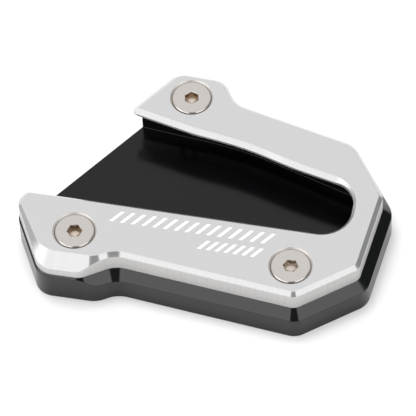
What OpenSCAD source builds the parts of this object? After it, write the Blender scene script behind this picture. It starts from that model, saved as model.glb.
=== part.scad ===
// Kickstand foot enlarger: a clamp plate screwed over a base plate, with a
// tapered pocket between them that slides over the foot of a side stand.
// Units are millimetres. X runs along the straight front edge, +Y is the far
// side of the pocket and +Z is up. The origin is the middle of the underside.
//
// The outline is a chain of straight edges. Each edge is held as the way it
// faces, in degrees from +X, and its distance from a datum inside the plate.

/* [Plates] */
// Thickness of the top plate
top_t = 7; // [6:0.1:9]
// Thickness of the base plate
base_t = 11; // [9.5:0.1:14]
// How far the base plate spreads beyond the top plate along the front and the end
flare = 2.9; // [2:0.1:3.4]
// The same along the rear edge and its corner
rear_flare = 2.5; // [1.6:0.1:2.8]
// The same in the hollow beside the rear lobe
neck_flare = 1.2; // [0.6:0.1:1.6]
// How far the base plate stands out around the front lobe
lobe_step = 0.5; // [0.3:0.1:0.8]
// How far the base plate's mouth is set back under the top plate
mouth_step = 0.4; // [0.2:0.1:0.8]
// Bevel along the outer upper edge of the top plate
bevel = 1.3; // [0.8:0.1:1.5]
// Bevel along the far lip of the slot
lip_bevel = 1.4; // [1:0.1:1.6]
// Bevel along the near lip and the closed end of the slot
slot_bevel = 1.05; // [0.8:0.05:1.2]
// Bevel across the mouth end of the rear lobe
mouth_bevel = 1.7; // [1.2:0.1:1.9]
// Wide bevel across the end of the front lobe
lobe_bevel = 4.1; // [3:0.1:4.6]
// Way the upper edge of the front lobe's side faces, where its bevel widens
lobe_bevel_a = 218.3; // [216:0.1:220]
// How far that upper edge lies inside the lobe's side
lobe_bevel_in = 2.3; // [1.7:0.1:2.8]
// Radius of the upper edge at the outer end of the front lobe
lobe_bevel_r = 8.5; // [7:0.5:10]
// Length by which the wide bevel stops short of the inner side, in a mitre
lobe_mitre_l = 1.6; // [1.2:0.1:2]
// How sharply the upper edge turns at the mitre
lobe_mitre_turn = 4.8; // [3.6:0.2:6]

/* [Outline] */
// Distance of the front edge from the datum
front_d = 23.9; // [23:0.1:25]
// Way the front corner edge faces
front_corner_a = -46; // [-50:0.5:-42]
// Distance of the front corner edge from the datum
front_corner_d = 40.9; // [40:0.1:42]
// Distance of the end edge from the datum
end_d = 49.8; // [49:0.1:54]
// Way the rear corner edge faces
rear_corner_a = 41; // [38:0.5:44]
// Distance of the rear corner edge from the datum
rear_corner_d = 49.8; // [49:0.1:51]
// Way the rear edge faces
rear_a = 82.5; // [81:0.5:84]
// Distance of the rear edge from the datum
rear_d = 38.9; // [38.4:0.1:40]
// Way the inner side of the rear lobe faces
rear_neck_a = 38; // [35:0.5:42]
// Distance of the inner side of the rear lobe from the datum
rear_neck_d = 21.9; // [21.4:0.1:22.6]
// Way the tip of the rear lobe faces
rear_lobe_a = 93.5; // [91:0.5:96]
// Distance of the tip of the rear lobe from the datum
rear_lobe_d = 47.6; // [47:0.1:49]
// Way the mouth of the pocket faces
mouth_a = 151; // [149:0.5:153]
// Distance of the mouth from the datum
mouth_d = 43.4; // [42.6:0.1:44.4]
// Way the outer side of the front lobe faces
lobe_side_a = 214.4; // [212:0.2:216]
// Distance of the outer side of the front lobe from the datum
lobe_side_d = 54; // [53.4:0.1:55]
// Way the end of the front lobe faces
lobe_end_a = -83.7; // [-86:0.1:-82]
// Distance of the end of the front lobe from the datum
lobe_end_d = 27.4; // [27:0.1:28.4]
// Way the inner side of the front lobe faces
lobe_neck_a = -51.4; // [-54:0.1:-49]
// Length of the front lobe's end, between its two sides
lobe_end_l = 12.6; // [12:0.1:14]

/* [Corners] */
// Radius where the front edge meets the front corner edge
front_r = 4.3; // [3:0.1:6]
// Radius where the front corner edge meets the end edge
end_front_r = 3.5; // [3:0.1:6]
// Radius where the end edge meets the rear corner edge
end_rear_r = 4.8; // [3:0.1:6]
// Radius where the rear corner edge meets the rear edge
rear_r = 7; // [4:0.1:9]
// Hollow radius between the rear edge and the rear lobe
rear_neck_r = 8; // [7:0.1:9]
// Radius on the inner shoulder of the rear lobe
rear_lobe_r = 6; // [5:0.1:6.6]
// Radius on the outer shoulder of the rear lobe
rear_tip_r = 5.6; // [4:0.1:6.6]
// Radius of the two tips beside the mouth
tip_r = 1.8; // [1.4:0.1:2]
// Radius between the mouth and the side of the front lobe
lobe_side_r = 5; // [4:0.1:5.4]
// Radius at the outer end of the front lobe
lobe_end_r = 6.4; // [5:0.1:7]
// Radius at the inner end of the front lobe
lobe_shoulder_r = 5.6; // [4.6:0.1:6.4]
// Hollow radius between the front lobe and the front edge
lobe_neck_r = 9; // [8:0.1:10]

/* [Slot] */
// Way the near lip of the slot slopes, in degrees from the front edge
near_slope = 5.7; // [5:0.1:6.4]
// Distance of the near lip from the datum
near_d = 3.4; // [2.8:0.1:4]
// Distance of the closed end of the slot from the datum, square to the near lip
slot_end_d = 42.9; // [42:0.1:43.6]
// Slope of the far lip beside the mouth
far_slope = 7.2; // [6.8:0.1:7.6]
// Distance of that stretch from the datum
far_d = 23.85; // [23.6:0.05:24.1]
// Slope of the flat stretch that follows
far_flat_slope = 2.6; // [2:0.1:3.4]
// Distance of the flat stretch from the datum
far_flat_d = 25; // [24.9:0.05:25.1]
// Slope of the steep stretch
far_steep_slope = 11.9; // [11.4:0.1:12.4]
// Distance of the steep stretch from the datum
far_steep_d = 25.2; // [25.1:0.05:25.3]
// Slope of the far lip towards the closed end
far_end_slope = 7.1; // [6.7:0.1:7.5]
// Distance of that stretch from the datum
far_end_d = 23.85; // [23.7:0.05:24.1]
// Radii that blend the four stretches of the far lip
far_blend = [22, 100, 90];
// Corner radius of the closed end, near side
slot_near_r = 9.2; // [8:0.1:10]
// Corner radius of the closed end, far side
slot_far_r = 7.9; // [7:0.1:8.4]
// The same at the upper edge of its bevel
slot_far_top_r = 10.6; // [9.4:0.1:11]

/* [Pocket] */
// Depth of the pocket in the base plate
pocket_depth = 6.5; // [5:0.1:7.5]
// Thickness of the lips of the top plate over the pocket
lip_t = 2.2; // [2:0.1:3]
// How far the near lip reaches over the pocket
near_lip = 2.5; // [1.5:0.1:2.8]
// Distance of the closed end of the pocket from the datum
pocket_end_d = 45.8; // [45:0.1:46.4]
// Distance of the far wall of the pocket from the datum, at the mouth
pocket_far_d = 32.2; // [31.6:0.1:32.4]
// Slope of the far wall towards the closed end
pocket_far_slope = 11.6; // [10:0.2:13]
// Distance of that sloping wall from the datum
pocket_slope_d = 31.7; // [31.2:0.1:32]
// Corner radius at the closed end of the pocket
pocket_r = 11.5; // [9:0.5:12]
// Radius that blends the two parts of the far wall
pocket_blend_r = 110; // [60:5:140]

/* [Screws] */
// Nominal thread diameter of the three countersunk screws
screw_d = 6; // [5:0.5:6]
// Diameter of the countersink at the top face
seat_d = 13.4; // [13:0.1:14]
// Diameter of the screw head
head_d = 12; // [11.4:0.1:12.4]
// Distance of the head below the top face
head_drop = 0.1; // [0:0.05:0.3]
// Width across the flats of the hexagon socket
socket_af = 4; // [3:0.5:5]
// Depth of the hexagon socket
socket_depth = 2.4; // [1.6:0.1:2.6]
// Overall length of a screw
screw_len = 16; // [14:0.5:16]
// Distance of the front lobe screw from the lobe's side
lobe_side_inset = 13.5; // [12:0.1:15]
// Distance of the front lobe screw from the lobe's end
lobe_end_inset = 12.2; // [11:0.1:13]
// Distance of the corner screw from the front edge and from the front corner edge
corner_inset = 10.1; // [9:0.1:12]
// Distance of the rear lobe screw from the tip of the rear lobe
rear_lobe_inset = 8.9; // [8.6:0.1:9.6]
// Distance of the rear lobe screw from the mouth
mouth_inset = 10.5; // [9:0.1:11.5]
// How far each screw is turned, in degrees
screw_turns = [19.6, 8, 49.6];

/* [Hidden] */
$fn = 96;
e = 0.01;
ease = 0.06;
// Largest turn of a rounded corner between two of its facets
arc_step = 7.5;
height = base_t + top_t;
floor_z = base_t - pocket_depth;
clear_d = screw_d + 0.6;
point_l = screw_d / 10;

// Edges of the top plate, each as [way it faces, distance from the datum]
FRONT = [-90, front_d];
FRONT_CORNER = [front_corner_a, front_corner_d];
END = [0, end_d];
REAR_CORNER = [rear_corner_a, rear_corner_d];
REAR = [rear_a, rear_d];
REAR_NECK = [rear_neck_a, rear_neck_d];
REAR_LOBE = [rear_lobe_a, rear_lobe_d];
MOUTH = [mouth_a, mouth_d];
LOBE_SIDE = [lobe_side_a, lobe_side_d];
LOBE_END = [lobe_end_a, lobe_end_d];
LOBE_CORNER = meet(LOBE_SIDE, LOBE_END) + lobe_end_l * way(lobe_end_a + 90);
LOBE_NECK = [lobe_neck_a, LOBE_CORNER * way(lobe_neck_a)];
// The three screws: front lobe, front corner, rear lobe
SCREWS = [
    meet(spread_edge(LOBE_SIDE, -lobe_side_inset), spread_edge(LOBE_END, -lobe_end_inset)),
    meet(spread_edge(FRONT_CORNER, -corner_inset), spread_edge(FRONT, -corner_inset)),
    meet(spread_edge(REAR_LOBE, -rear_lobe_inset), spread_edge(MOUTH, -mouth_inset))
];
// Upper edges of the front lobe's wide bevel
LOBE_SIDE_TOP = [lobe_bevel_a, lobe_side_d - lobe_bevel_in];
LOBE_END_TOP = [lobe_end_a, lobe_end_d - lobe_bevel];
LOBE_NECK_TOP = spread_edge(LOBE_NECK, -bevel);
// From the mitre a radius leads into the narrow bevel of the lobe's inner side
MITRE = meet(LOBE_END_TOP, LOBE_NECK_TOP) - lobe_mitre_l * way(lobe_end_a + 90);
LOBE_MITRE = [lobe_end_a + lobe_mitre_turn, MITRE * way(lobe_end_a + lobe_mitre_turn)];
mitre_r = 0.9 * norm(meet(LOBE_MITRE, LOBE_NECK_TOP) - MITRE) / tan((lobe_neck_a - LOBE_MITRE[0]) / 2);
FAR = [-90 - far_slope, -far_d];
FAR_FLAT = [-90 - far_flat_slope, -far_flat_d];
FAR_STEEP = [-90 - far_steep_slope, -far_steep_d];
FAR_END = [-90 - far_end_slope, -far_end_d];
SLOT_END = [180 + near_slope, -slot_end_d];
NEAR = [90 + near_slope, -near_d];

// The outer outline and its corner radii, the first radius between the first two edges
RIM = [
    FRONT, FRONT_CORNER, END, REAR_CORNER, REAR, REAR_NECK,
    REAR_LOBE, MOUTH, LOBE_SIDE, LOBE_END, LOBE_NECK
];
RIM_R = [
    front_r, end_front_r, end_rear_r, rear_r, rear_neck_r, rear_lobe_r,
    rear_tip_r, lobe_side_r, lobe_end_r, lobe_shoulder_r, lobe_neck_r
];
// How far the base plate stands out beyond each of those edges, and its own corner radii
SPREAD = [
    flare, flare, flare, rear_flare, rear_flare, neck_flare,
    lobe_step, -mouth_step, lobe_step, lobe_step, flare
];
BASE = [for (i = [0:len(RIM) - 1]) spread_edge(RIM[i], SPREAD[i])];
BASE_R = [
    front_r + 1.6, end_front_r + 3, end_rear_r + 2.6, rear_r + 2, rear_neck_r, rear_lobe_r + 0.5,
    rear_tip_r, lobe_side_r, lobe_end_r, lobe_shoulder_r + 3, lobe_neck_r
];
// The top plate's outline, with the slot cut in from the mouth
PLATE = [
    FRONT, FRONT_CORNER, END, REAR_CORNER, REAR, REAR_NECK, REAR_LOBE, MOUTH,
    FAR, FAR_FLAT, FAR_STEEP, FAR_END, SLOT_END, NEAR, MOUTH,
    LOBE_SIDE, LOBE_END, LOBE_NECK
];
PLATE_R = [
    front_r, end_front_r, end_rear_r, rear_r, rear_neck_r, rear_lobe_r, rear_tip_r, tip_r,
    far_blend[0], far_blend[1], far_blend[2], slot_far_r, slot_near_r, tip_r, lobe_side_r,
    lobe_end_r, lobe_shoulder_r, lobe_neck_r
];
// Widths of the bevels from the front edge round to the mouth edge of the front lobe
BEVELS = [
    bevel, bevel, bevel, bevel, bevel, bevel, bevel, mouth_bevel,
    lip_bevel, lip_bevel, lip_bevel, lip_bevel, slot_bevel, slot_bevel, bevel
];
// Upper edges of the top plate, where its bevels begin: the wide bevel around the front lobe ends in a mitre
CREST = concat(
    [for (i = [0:len(BEVELS) - 1]) spread_edge(PLATE[i], -BEVELS[i])],
    [LOBE_SIDE_TOP, LOBE_END_TOP, LOBE_MITRE, LOBE_NECK_TOP]
);
// Their corner radii: the bevels of the rear lobe's mouth end and of the far lip meet in a sharp mitre
CREST_R = concat(
    [for (i = [0:6]) crest_r(PLATE[i], PLATE[i + 1], PLATE_R[i], BEVELS[i])],
    [0],
    [for (i = [8:10]) crest_r(PLATE[i], PLATE[i + 1], PLATE_R[i], BEVELS[i])],
    [slot_far_top_r],
    [for (i = [12:14]) crest_r(PLATE[i], PLATE[i + 1], PLATE_R[i], BEVELS[i])],
    [lobe_bevel_r, 0, mitre_r, crest_r(LOBE_NECK, FRONT, lobe_neck_r, bevel)]
);
// The pocket's outline, run out past the mouth
POCKET = [
    [-90 + near_slope, near_d + near_lip], [0, pocket_end_d],
    [90 - pocket_far_slope, pocket_slope_d], [90, pocket_far_d], [mouth_a, mouth_d + 12]
];
POCKET_R = [pocket_r, pocket_r, pocket_blend_r, 0, 0];

// The middle of the underside, measured from the datum
TIP_X = min(round_centre(BASE[7], BASE[8], lobe_side_r)[0], round_centre(MOUTH, LOBE_SIDE, lobe_side_r)[0]);
LEFT = TIP_X - lobe_side_r;
RIGHT = end_d + flare;
NEAREST = round_centre(BASE[8], BASE[9], BASE_R[8])[1] - BASE_R[8];
FARTHEST = round_centre(BASE[5], BASE[6], BASE_R[5])[1] + BASE_R[5];
DATUM = [-(LEFT + RIGHT) / 2, -(NEAREST + FARTHEST) / 2];

function spread_edge(g, d) = [g[0], g[1] + d];
function way(a) = [cos(a), sin(a)];
function turned(a) = (a % 360 + 540) % 360 - 180;
// Where two edges meet
function meet(g, h) = [
    g[1] * sin(h[0]) - h[1] * sin(g[0]),
    h[1] * cos(g[0]) - g[1] * cos(h[0])
] / sin(h[0] - g[0]);
function is_hollow(g, h) = turned(h[0] - g[0]) < 0;
// Centre of the radius between two edges, inside the plate or in the hollow
function inward(g, h, r) = is_hollow(g, h) ? r : -r;
function round_centre(g, h, r) = meet(spread_edge(g, inward(g, h, r)), spread_edge(h, inward(g, h, r)));
// Radius of a corner's upper edge: one bevel inside the plate's own, and a little easier
function crest_r(g, h, r, width) = ease + (is_hollow(g, h) ? r + width : r - width);
function next(i, n) = (i + 1) % n;

// Points along a corner: its turning angle in equal steps, with the radius grown by k outwards
function arc_steps(g, h) = max(2, ceil(abs(turned(h[0] - g[0])) / arc_step));
function arc_way(g, h, j) = way(g[0] + turned(h[0] - g[0]) * j / arc_steps(g, h));
function arc_points(g, h, r, k) = r <= 0 ? [meet(spread_edge(g, k), spread_edge(h, k))] : [
    for (j = [0:arc_steps(g, h)])
        round_centre(g, h, r) + (is_hollow(g, h) ? k - r : k + r) * arc_way(g, h, j)
];
// The whole outline, moved out by k
function outline(edges, radii, k = 0) = [
    for (i = [0:len(edges) - 1])
        each arc_points(edges[i], edges[next(i, len(edges))], radii[i], k)
];
// Two triangles for each side of a ring of n sections with m points each
function ring_faces(n, m) = [
    for (i = [0:n - 1], j = [0:m - 1])
        let (a = i * m + j, b = i * m + next(j, m), c = next(i, n) * m + next(j, m), d = next(i, n) * m + j)
            each [[a, c, d], [a, b, c]]
];

// A plate with the chain of edges as its outline
module slab(edges, radii, z0, z1) {
    translate([0, 0, z0])
        linear_extrude(z1 - z0)
            polygon(outline(edges, radii));
}

// What a 45 degree bevel takes away: it starts at an upper edge at height z and falls outwards by depth
module bevel_ring(edges, radii, z, depth) {
    lap = 0.1;
    inner = outline(edges, radii, -lap);
    outer = outline(edges, radii, depth);
    n = len(inner);
    polyhedron(
        points = [for (i = [0:n - 1]) each [
            [inner[i][0], inner[i][1], z + lap],
            [outer[i][0], outer[i][1], z - depth],
            [outer[i][0], outer[i][1], z + lap]
        ]],
        faces = ring_faces(n, 3)
    );
}

module hex_socket(turn) {
    rotate([0, 0, turn])
        translate([0, 0, -socket_depth])
            cylinder(h = socket_depth + 1, d = socket_af / cos(30), $fn = 6);
    translate([0, 0, -socket_depth - 0.9])
        cylinder(h = 0.9 + e, r1 = 0.3, r2 = socket_af / 2 - 0.05);
}

module base_plate() {
    color("#2a2829")
        translate([DATUM[0], DATUM[1], 0])
            difference() {
                slab(BASE, BASE_R, 0, base_t);
                bevel_ring(RIM, RIM_R, base_t, flare + 0.4);
                slab(POCKET, POCKET_R, floor_z, base_t + 1);
                for (p = SCREWS)
                    translate([p[0], p[1], -1])
                        cylinder(h = base_t + 2, d = screw_d);
            }
}

module top_plate() {
    color("#d8d8da")
        translate([DATUM[0], DATUM[1], 0])
            difference() {
                slab(PLATE, PLATE_R, base_t, height);
                bevel_ring(CREST, CREST_R, height, lobe_bevel + 0.4);
                slab(POCKET, POCKET_R, base_t - 1, height - lip_t);
                for (p = SCREWS)
                    translate([p[0], p[1], 0])
                        screw_seat();
            }
}

module screw_seat() {
    translate([0, 0, base_t - 1])
        cylinder(h = top_t + 2, d = clear_d);
    translate([0, 0, height - (seat_d - clear_d) / 2])
        cylinder(h = (seat_d - clear_d) / 2 + 1, d1 = clear_d, d2 = seat_d + 2);
}

module screw(turn) {
    top = height - head_drop;
    rim_z = height - (seat_d - head_d) / 2;
    neck_z = height - (seat_d - screw_d) / 2;
    difference() {
        union() {
            translate([0, 0, top - 0.3])
                cylinder(h = 0.3, d1 = head_d, d2 = head_d - 0.6);
            translate([0, 0, rim_z])
                cylinder(h = top - 0.3 - rim_z, d = head_d);
            translate([0, 0, neck_z])
                cylinder(h = rim_z - neck_z, d1 = screw_d, d2 = head_d);
            translate([0, 0, top - screw_len + point_l])
                cylinder(h = neck_z - top + screw_len - point_l, d = screw_d);
            translate([0, 0, top - screw_len])
                cylinder(h = point_l, d1 = screw_d - 2 * point_l, d2 = screw_d);
        }
        translate([0, 0, top])
            hex_socket(turn);
    }
}

module screws() {
    color("#c9c4bf")
        translate([DATUM[0], DATUM[1], 0])
            for (i = [0:len(SCREWS) - 1])
                translate([SCREWS[i][0], SCREWS[i][1], 0])
                    screw(screw_turns[i]);
}

base_plate();
top_plate();
screws();
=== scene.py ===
import math

import bpy
from mathutils import Matrix, Vector
from mathutils.geometry import delaunay_2d_cdt


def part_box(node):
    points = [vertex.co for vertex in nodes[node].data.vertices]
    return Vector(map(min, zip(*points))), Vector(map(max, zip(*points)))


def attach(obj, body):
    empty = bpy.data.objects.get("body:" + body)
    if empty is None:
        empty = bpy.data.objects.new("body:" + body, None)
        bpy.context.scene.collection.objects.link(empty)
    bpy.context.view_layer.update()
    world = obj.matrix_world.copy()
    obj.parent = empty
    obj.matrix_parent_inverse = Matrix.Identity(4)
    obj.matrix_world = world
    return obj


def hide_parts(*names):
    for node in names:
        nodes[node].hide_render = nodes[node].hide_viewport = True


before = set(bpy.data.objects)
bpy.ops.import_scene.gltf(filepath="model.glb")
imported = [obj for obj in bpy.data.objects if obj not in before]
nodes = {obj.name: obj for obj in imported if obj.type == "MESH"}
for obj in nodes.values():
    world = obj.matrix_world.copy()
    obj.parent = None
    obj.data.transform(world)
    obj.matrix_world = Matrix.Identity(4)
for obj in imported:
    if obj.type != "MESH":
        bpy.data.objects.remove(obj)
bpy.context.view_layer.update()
scene = bpy.context.scene
scene.view_settings.view_transform = "Standard"

MM = 0.001

# Sizes in millimetres and degrees, from the same datum as the solids
# The levels of the top, the joint, the pocket's floor and the underside of the lips
lip_t = 2.2
top_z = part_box("top_plate")[1].z / MM
joint_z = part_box("base_plate")[1].z / MM
floor_z = 4.5
lip_z = top_z - lip_t
# How far the base plate's wall stands out from its rim
flare, rear_flare, neck_flare, lobe_step, mouth_step = 2.9, 2.5, 1.2, 0.5, 0.4
# The top plate's bevels, which widen round the front lobe and end in a mitre
bevel, lip_bevel, slot_bevel, mouth_bevel = 1.3, 1.4, 1.05, 1.7
lobe_bevel, lobe_bevel_in, lobe_bevel_r, lobe_end_l = 4.1, 2.3, 8.5, 12.6
lobe_mitre_l, lobe_mitre_turn, mitre_share = 1.6, 4.8, 0.9
# The corners of the rim, from the front one on, and of the lips
front_r, end_front_r, end_rear_r, rear_r = 4.3, 3.5, 4.8, 7
rear_neck_r, rear_lobe_r, rear_tip_r = 8, 6, 5.6
lobe_side_r, lobe_end_r, lobe_shoulder_r, lobe_neck_r = 5, 6.4, 5.6, 9
tip_r = 1.8
# The slot between the lips, and the mouth
near_slope, near_d, slot_end_d = 5.7, 3.4, 42.9
slot_far_r, slot_near_r, slot_far_top_r, far_blends = 7.9, 9.2, 10.6, (22, 100, 90)
mouth_a, mouth_d = 151, 43.4
# The pocket in the base plate, cut well past the mouth
near_lip, past_mouth = 2.5, 12
pocket_end_d, pocket_far_d, pocket_slope_d, pocket_far_slope = 45.8, 32.2, 31.7, 11.6
pocket_r, pocket_blend_r = 11.5, 110
# The holes for the screws, with one turn of thread
seat_r, clear_r, thread_r, thread_tip_r = 6.7, 3.3, 3.0, 2.5
thread_foot, thread_pitch, thread_flat, hole_mouth = 0.75, 1.0, 0.1, 0.5

# Where the screws sit, and their sizes and turns
lobe_side_inset, lobe_end_inset, corner_inset = 13.5, 12.2, 10.1
rear_lobe_inset, mouth_inset = 8.9, 10.5
head_top, head_r, head_chamfer, seat_drop = top_z - 0.1, 6.0, 0.3, 0.7
rim_break, rim_slant = 0.06, 0.05
socket_af, socket_depth, socket_lead, drill_r, drill_depth = 4.0, 2.4, 0.1, 1.6, 0.9
socket_flare = 2 * socket_lead / socket_af
screw_len, point_l = 16, 0.6
SCREW_TURNS = (19.6, 8, 49.6)

# How finely arcs, straight runs and full rounds are drawn, and how far the edges are broken
arc_step, run_step, round_n, cove_steps = 2.5, 1.0, 96, 5
crest_break, foot_break, sole_break, cove = 0.13, 0.1, 0.3, 0.15
# A broken edge takes no more than this share of a narrow bevel
break_share = 0.4
# Shoulders with a smaller radius than this are drawn in as sharp corners
sharp_r = 0.3
# How far a wall may lie outside its spot, and how far inside
wall_out, wall_in = 8, 2


def way(a):
    """The unit vector that points the given way, in degrees."""
    return Vector((math.cos(math.radians(a)), math.sin(math.radians(a))))


def turned(a):
    """A turn in degrees, brought between -180 and 180."""
    return (a % 360 + 540) % 360 - 180


def spread(g, d):
    """The edge moved out by the given distance."""
    return (g[0], g[1] + d)


def meet(g, h):
    """Where two edges meet. An edge is the way it faces, in degrees, and its distance from the datum."""
    ga, ha = math.radians(g[0]), math.radians(h[0])
    across = math.sin(ha - ga)
    return Vector((
        (g[1] * math.sin(ha) - h[1] * math.sin(ga)) / across,
        (h[1] * math.cos(ga) - g[1] * math.cos(ha)) / across,
    ))


# Edges of the plates, each as the way it faces and its distance from the datum
FRONT, FRONT_CORNER, END = (-90, 23.9), (-46, 40.9), (0, 49.8)
REAR_CORNER, REAR, REAR_NECK, REAR_LOBE = (41, 49.8), (82.5, 38.9), (38, 21.9), (93.5, 47.6)
MOUTH, LOBE_SIDE, LOBE_END = (mouth_a, mouth_d), (214.4, 54), (-83.7, 27.4)
LOBE_CORNER = meet(LOBE_SIDE, LOBE_END) + lobe_end_l * way(LOBE_END[0] + 90)
REAR_TIP = meet(REAR_LOBE, MOUTH)
LOBE_NECK = (-51.4, LOBE_CORNER.dot(way(-51.4)))
FAR, FAR_FLAT, FAR_STEEP, FAR_END = (-97.2, -23.85), (-92.6, -25), (-101.9, -25.2), (-97.1, -23.85)
SLOT_END, NEAR = (180 + near_slope, -slot_end_d), (90 + near_slope, -near_d)

# Outlines, each as its edges in turn and the radius between each edge and the next
RIM = [FRONT, FRONT_CORNER, END, REAR_CORNER, REAR, REAR_NECK,
       REAR_LOBE, MOUTH, LOBE_SIDE, LOBE_END, LOBE_NECK]
RIM_R = [front_r, end_front_r, end_rear_r, rear_r, rear_neck_r, rear_lobe_r,
         rear_tip_r, lobe_side_r, lobe_end_r, lobe_shoulder_r, lobe_neck_r]
SPREAD = [flare, flare, flare, rear_flare, rear_flare, neck_flare,
          lobe_step, -mouth_step, lobe_step, lobe_step, flare]
BASE = [spread(g, d) for g, d in zip(RIM, SPREAD)]
BASE_MORE_R = (1.6, 3, 2.6, 2, 0, 0.5, 0, 0, 0, 3, 0)
BASE_R = [r + more for r, more in zip(RIM_R, BASE_MORE_R)]
PLATE = RIM[:8] + [FAR, FAR_FLAT, FAR_STEEP, FAR_END, SLOT_END, NEAR, MOUTH] + RIM[8:]
PLATE_R = RIM_R[:7] + [tip_r, *far_blends, slot_far_r, slot_near_r, tip_r] + RIM_R[7:]
BEVELS = [bevel] * 7 + [mouth_bevel] + [lip_bevel] * 4 + [slot_bevel] * 2 + [bevel]
POCKET = [(-90 + near_slope, near_d + near_lip), (0, pocket_end_d), (90 - pocket_far_slope, pocket_slope_d),
          (90, pocket_far_d), (mouth_a, mouth_d + past_mouth)]
POCKET_R = [pocket_r, pocket_r, pocket_blend_r, 0, 0]


def crest_r(i):
    """The radius at the upper edge of a bevel: larger in a hollow, smaller on a shoulder."""
    hollow = turned(PLATE[i + 1][0] - PLATE[i][0]) < 0
    return PLATE_R[i] + BEVELS[i] if hollow else PLATE_R[i] - BEVELS[i]


# The upper edges, where the bevel round the front lobe widens and ends in a mitre
LOBE_SIDE_TOP = (218.3, LOBE_SIDE[1] - lobe_bevel_in)
LOBE_END_TOP = spread(LOBE_END, -lobe_bevel)
LOBE_NECK_TOP = spread(LOBE_NECK, -bevel)
MITRE = meet(LOBE_END_TOP, LOBE_NECK_TOP) - lobe_mitre_l * way(LOBE_END[0] + 90)
LOBE_MITRE = (LOBE_END[0] + lobe_mitre_turn, MITRE.dot(way(LOBE_END[0] + lobe_mitre_turn)))
mitre_half = math.radians((LOBE_NECK[0] - LOBE_MITRE[0]) / 2)
mitre_r = mitre_share * (meet(LOBE_MITRE, LOBE_NECK_TOP) - MITRE).length / math.tan(mitre_half)
CREST = [spread(g, -b) for g, b in zip(PLATE, BEVELS)]
CREST += [LOBE_SIDE_TOP, LOBE_END_TOP, LOBE_MITRE, LOBE_NECK_TOP]
CREST_R = [crest_r(i) for i in range(len(BEVELS))] + [lobe_bevel_r, 0, mitre_r, RIM_R[10] + bevel]
CREST_R[PLATE.index(MOUTH)] = 0
CREST_R[PLATE.index(FAR_END)] = slot_far_top_r


class Spot:
    """A place on an outline: the point, the way out, and how the bevel beside it lies."""

    def __init__(self, point, out, before, after, fall=1.0):
        self.point, self.out, self.before, self.after, self.fall = point, out, before, after, fall
        self.reach, self.wall, self.facing, self.level = 0.0, point, out, None
        self.sharp = None

    def inner(self, size):
        """The point the given distance in from the outline."""
        if self.sharp:
            return meet(spread(self.sharp[0], -size), spread(self.sharp[1], -size))
        return self.point - self.out * size

    def between(self, other, f):
        """A new spot on the way to another, at the share f of the way."""
        new = Spot(self.point.lerp(other.point, f), self.out.lerp(other.out, f).normalized(),
                   self.after, other.before, self.fall + (other.fall - self.fall) * f)
        new.before = new.after = self.after.lerp(other.before, f).normalized()
        new.reach = self.reach + (other.reach - self.reach) * f
        new.wall = self.wall.lerp(other.wall, f)
        new.facing = self.facing.lerp(other.facing, f).normalized()
        return new


def corner(g, h, r, k=0.0):
    """The spots from edge g to edge h round radius r, moved out by k.

    A sharp corner is a fan of spots in one place.
    """
    turn = turned(h[0] - g[0])
    n = 2 * max(1, math.ceil(abs(turn) / arc_step / 2))
    angles = [g[0] + turn * j / n for j in range(n + 1)]
    if r <= 0:
        point = meet(spread(g, k), spread(h, k))
        first, last = way(g[0]), way(h[0])
        fan = []
        for j, a in enumerate(angles):
            out = way(a)
            fall = max(out.dot(first), out.dot(last))
            before = first if j <= n // 2 else last
            after = first if j < n // 2 else last
            fan.append(Spot(point, out, before, after, fall))
            fan[-1].sharp = (spread(g, k), spread(h, k))
        return fan
    inward = r if turn < 0 else -r
    centre = meet(spread(g, inward), spread(h, inward))
    grow = k - r if turn < 0 else k + r
    arc = [Spot(centre + grow * way(a), way(a), way(a), way(a)) for a in angles]
    if turn > 0 and r + k < sharp_r:
        for s in arc:
            s.sharp = (spread(g, k), spread(h, k))
    return arc


def outline(edges, radii, k=0.0):
    after = edges[1:] + edges[:1]
    return [s for g, h, r in zip(edges, after, radii) for s in corner(g, h, r, k)]


def finer(spots, step):
    """Adds spots along the straight stretches, so that they follow whatever lies beside them."""
    out = []
    for s, nxt in zip(spots, spots[1:] + spots[:1]):
        out.append(s)
        length = (nxt.point - s.point).length
        n = math.ceil(length / step) if (nxt.out - s.out).length < 1e-6 else 1
        for j in range(1, n):
            out.append(Spot(s.point.lerp(nxt.point, j / n), s.out, s.after, s.after))
    return out


def cross_2d(a, b):
    return a.x * b.y - a.y * b.x


def find_walls(spots, wall):
    """Sends each spot out to the wall's outline and keeps where it arrives."""
    sides = [(a.point, b.point - a.point, a.out, b.out) for a, b in zip(wall, wall[1:] + wall[:1])
             if (b.point - a.point).length > 1e-9]
    for s in spots:
        best = None
        for start, side, out_a, out_b in sides:
            across = cross_2d(s.out, side)
            if abs(across) < 1e-12:
                continue
            gap = start - s.point
            t = cross_2d(gap, side) / across
            f = cross_2d(gap, s.out) / across
            meets = -1e-6 <= f <= 1 + 1e-6 and -wall_in < t < wall_out
            if meets and (best is None or abs(t) < abs(best[0])):
                best = (t, start + side * f, out_a.lerp(out_b, f).normalized())
        s.reach, s.wall, s.facing = best


def crossing(spots, a, b, near, part="wall"):
    """Where the line from a to b crosses the walls: the spot before it, how far on, and the place."""
    best = None
    for j, s in enumerate(spots):
        nxt = spots[(j + 1) % len(spots)]
        start, end = getattr(s, part), getattr(nxt, part)
        side, line = end - start, b - a
        across = cross_2d(line, side)
        if side.length < 1e-9 or abs(across) < 1e-12:
            continue
        gap = start - a
        t, f = cross_2d(gap, side) / across, cross_2d(gap, line) / across
        if 0 <= t <= 1 and 0 <= f < 1:
            point = a + line * t
            if best is None or (point - near).length < (best[2] - near).length:
                best = (j, f, point)
    return best


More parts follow.
